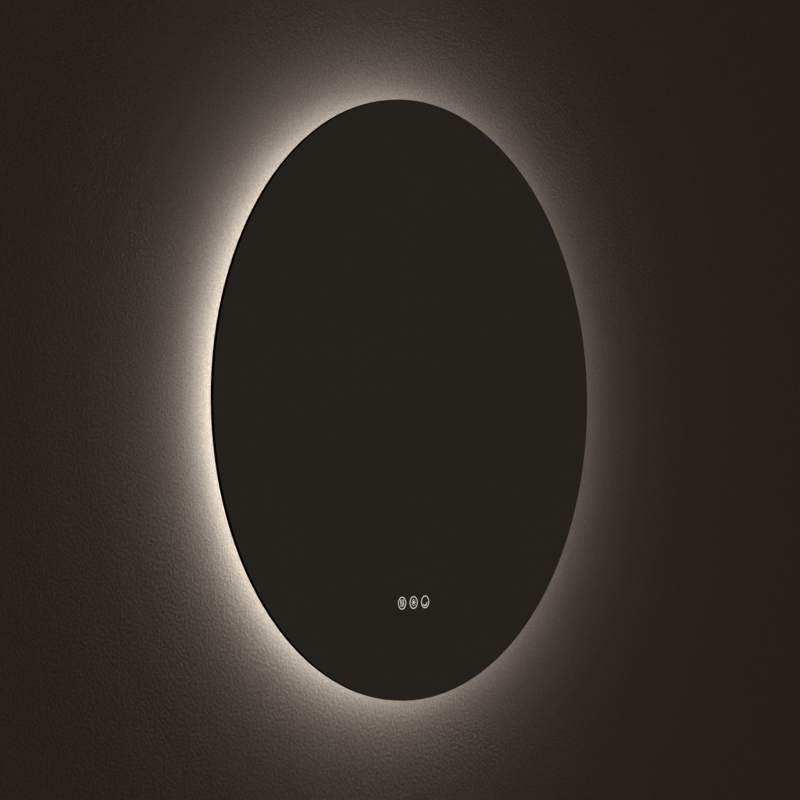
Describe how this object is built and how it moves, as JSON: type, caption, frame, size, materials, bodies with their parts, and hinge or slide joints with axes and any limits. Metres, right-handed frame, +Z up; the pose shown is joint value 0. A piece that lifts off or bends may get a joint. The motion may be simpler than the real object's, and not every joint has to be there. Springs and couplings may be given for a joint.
{
  "type": "lighted bathroom mirror",
  "caption": "Round frameless back-lit wall mirror with touch signs low on its face, a light ring hidden behind its edge and a lift-off hanging rail.",
  "frame": {"origin": "centre of the round mirror on the wall plane, which is the plane of the frame's rear edge and of the rail's back", "axes": "+Y out of the back into the wall, -Y into the room, +Z up, +X to the right as seen from the room"},
  "size_m": [0.8, 0.035, 0.7999],
  "materials": {
    "mirror_glass": "silvered float glass with a polished edge",
    "backing_film": "grey safety film over the painted silvering",
    "foam_tape": "acrylic foam tape",
    "anodised_frame": "satin anodised extrusion",
    "opal_diffuser": "opal diffusing plastic",
    "circuit_strip": "white flexible circuit",
    "light_chips": "moulded light chip with phosphor",
    "pan_steel": "zinc-coated steel sheet",
    "rail_steel": "bright zinc-plated steel",
    "fastener_steel": "zinc-plated screw",
    "white_housing": "fine-textured moulded plastic",
    "dark_housing": "fine-textured moulded plastic",
    "circuit_board": "solder-masked board",
    "tinned_tab": "tinned brass",
    "entry_rubber": "moulded rubber",
    "demister_foil": "amber heating foil",
    "heating_track": "etched metal track",
    "lead_sleeve": "white cable sleeve",
    "earth_sleeve": "green cable sleeve"
  },
  "bodies": {
    "wall_rail": {"hanging_rail": "rail_steel"},
    "mirror": {"mirror_glass": "mirror_glass", "backing_film": "backing_film", "frame_tape": "foam_tape", "frame_ring": "anodised_frame", "ring_joiner": "anodised_frame", "led_diffuser": "opal_diffuser", "led_strip": "circuit_strip", "led_chips": "light_chips", "back_pan": "pan_steel", "pan_screws": "fastener_steel", "left_hook": "rail_steel", "right_hook": "rail_steel", "driver_tape": "foam_tape", "driver_case": "white_housing", "driver_lid": "white_housing", "driver_board": "circuit_board", "terminal_block": "dark_housing", "terminal_cover": "white_housing", "earth_tab": "tinned_tab", "earth_receptacle": "white_housing", "cable_grommet": "entry_rubber", "touch_sensor_case": "dark_housing", "touch_sensor_board": "circuit_board", "touch_light_guides": "opal_diffuser", "demister_pad": "demister_foil", "demister_track": "heating_track", "demister_terminal": "dark_housing", "mains_lead": "lead_sleeve", "sensor_lead": "lead_sleeve", "strip_lead": "lead_sleeve", "demister_lead": "lead_sleeve", "earth_lead": "earth_sleeve", "cable_clips": "white_housing"}
  },
  "joints": [
    {"name": "lift_off", "type": "slide", "parent": "wall_rail", "child": "mirror", "axis": [0, 0, 1], "range_m": [0, 0.014]}
  ]
}
